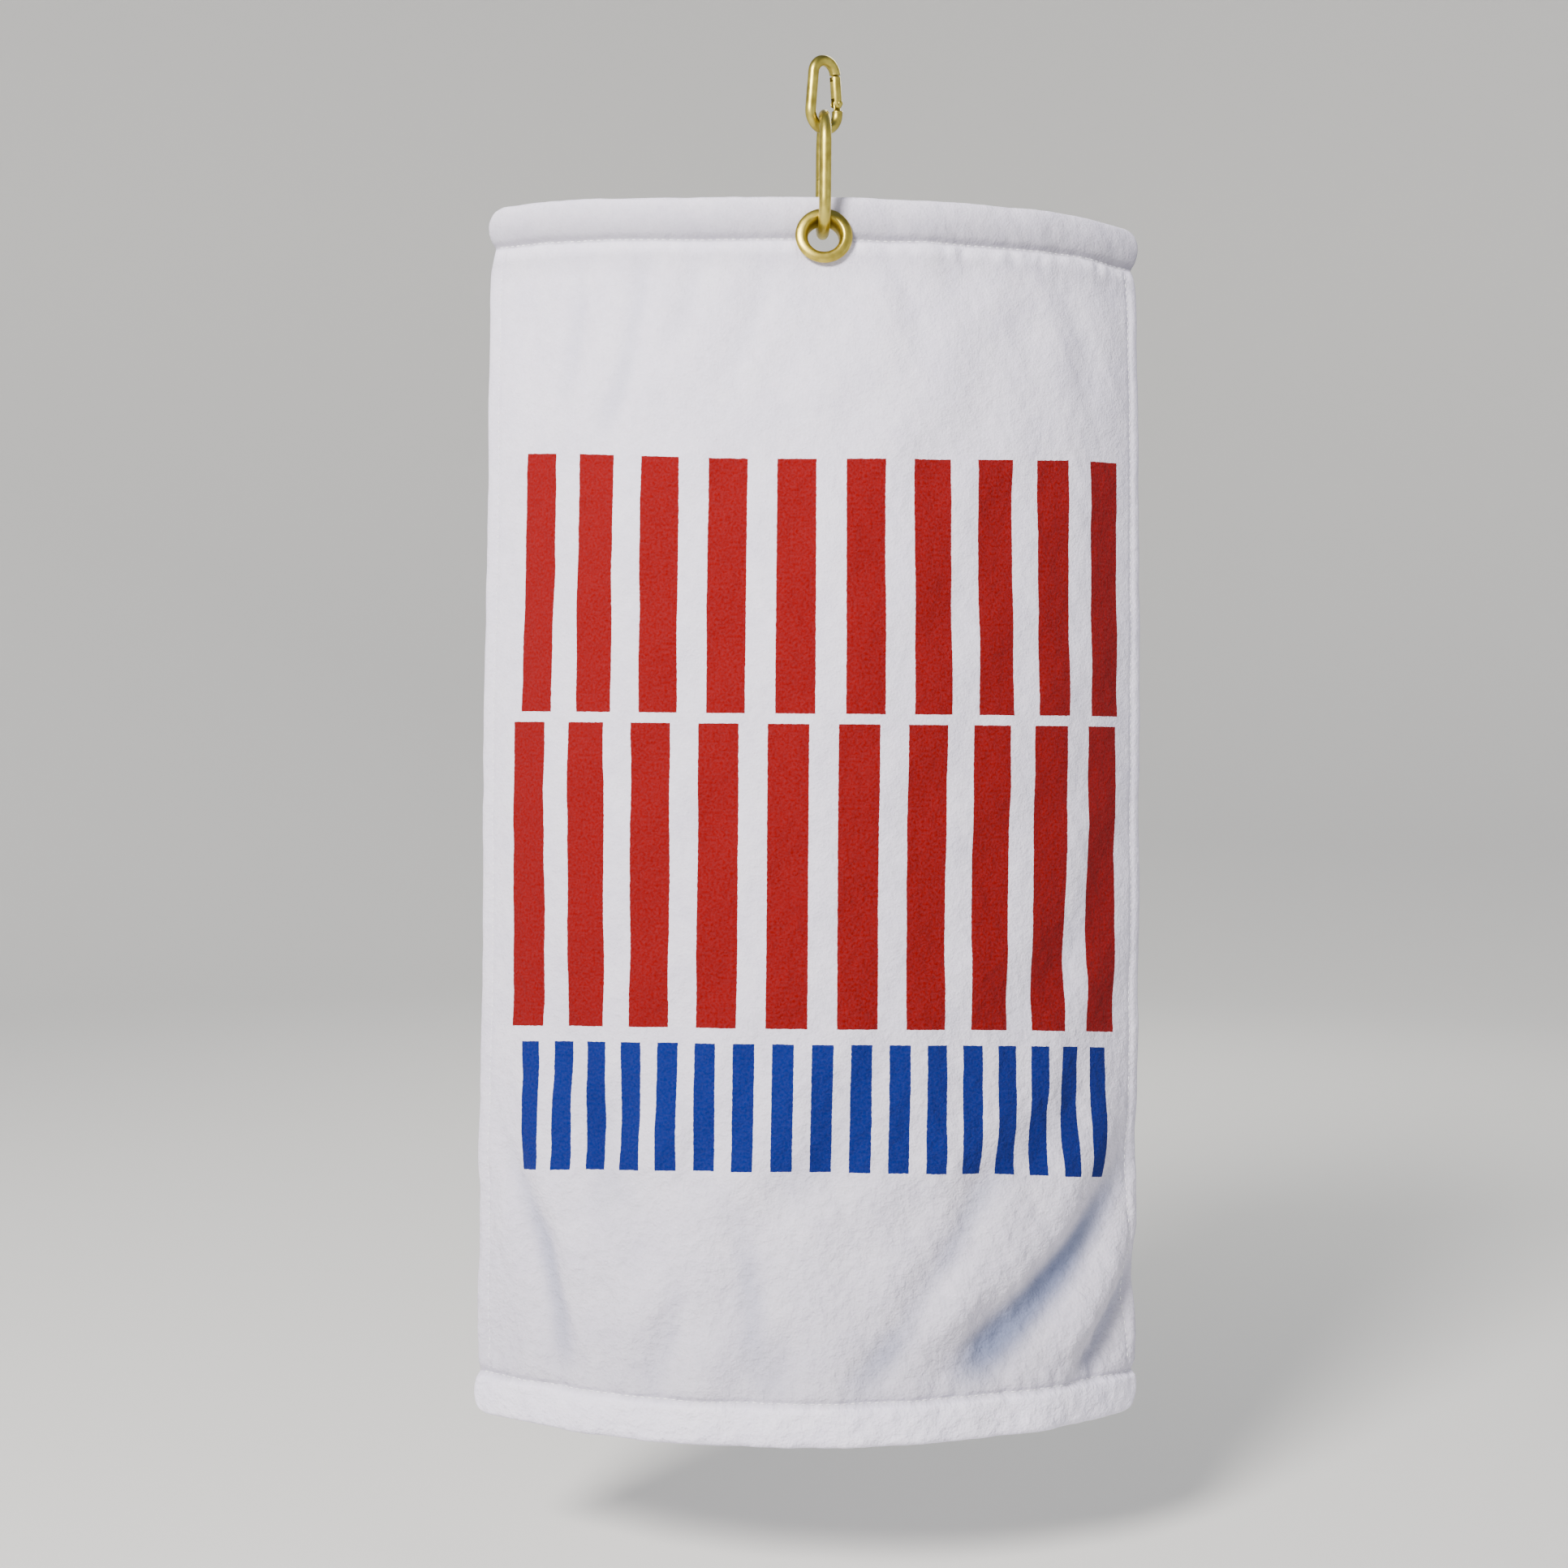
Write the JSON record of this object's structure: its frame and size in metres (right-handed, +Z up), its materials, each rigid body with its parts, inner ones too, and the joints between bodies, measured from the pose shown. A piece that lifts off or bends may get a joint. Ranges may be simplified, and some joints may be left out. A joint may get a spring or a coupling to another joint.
{
  "type": "golf towel",
  "caption": "Hemmed velour cloth towel hung by a brass grommet from an oblong wire link and a small gated snap hook, bowed as it lies on a golf bag.",
  "frame": {"origin": "seat inside the snap hook's top bend, where a bag's ring carries the towel", "axes": "+Z up, -Y towards the viewer of the towel's face, +X to the right as seen from the front"},
  "size_m": [0.2548, 0.087, 0.5079],
  "materials": {
    "brass_wire": "satin",
    "brass_grommet": "satin",
    "spring_steel": "satin",
    "velour_cloth": "matte",
    "hem_cloth": "matte",
    "thread": "matte"
  },
  "bodies": {
    "snap_hook": {"snap_body": "brass_wire", "gate_rivet": "brass_wire"},
    "gate": {"snap_gate": "brass_wire", "gate_spring": "spring_steel", "spring_plunger": "spring_steel"},
    "link": {"long_link": "brass_wire"},
    "towel_upper": {"grommet_eyelet": "brass_grommet", "grommet_washer": "brass_grommet", "top_hem": "hem_cloth", "top_hem_thread_left": "thread", "top_hem_thread_right": "thread", "towel_upper_panel": "velour_cloth", "left_hem_upper": "hem_cloth", "left_hem_upper_thread": "thread", "right_hem_upper": "hem_cloth", "right_hem_upper_thread": "thread"},
    "towel_lower": {"towel_lower_panel": "velour_cloth", "left_hem_lower": "hem_cloth", "left_hem_lower_thread": "thread", "right_hem_lower": "hem_cloth", "right_hem_lower_thread": "thread", "bottom_hem": "hem_cloth", "bottom_hem_thread": "thread"}
  },
  "joints": [
    {"name": "gate_open", "type": "hinge", "parent": "snap_hook", "child": "gate", "pos_m": [0.00486, 0.0034, -0.01297], "axis": [0.5736, -0.8192, 0], "range_deg": [0, 24], "stiffness_Nm_per_rad": 0.02, "springref_deg": -11.46},
    {"name": "link_swing", "type": "hinge", "parent": "snap_hook", "child": "link", "pos_m": [0, 0, -0.0227], "axis": [1, 0, 0], "range_deg": [-20, 20]},
    {"name": "towel_sway", "type": "hinge", "parent": "link", "child": "towel_upper", "pos_m": [0, -0.00267, -0.06018], "axis": [0, -0.9712, 0.2381], "range_deg": [-30, 30]},
    {"name": "towel_fold", "type": "hinge", "parent": "towel_upper", "child": "towel_lower", "pos_m": [0, -0.02218, -0.27542], "axis": [-1, 0, 0], "range_deg": [0, 45], "stiffness_Nm_per_rad": 0.03, "springref_deg": -20.05}
  ]
}
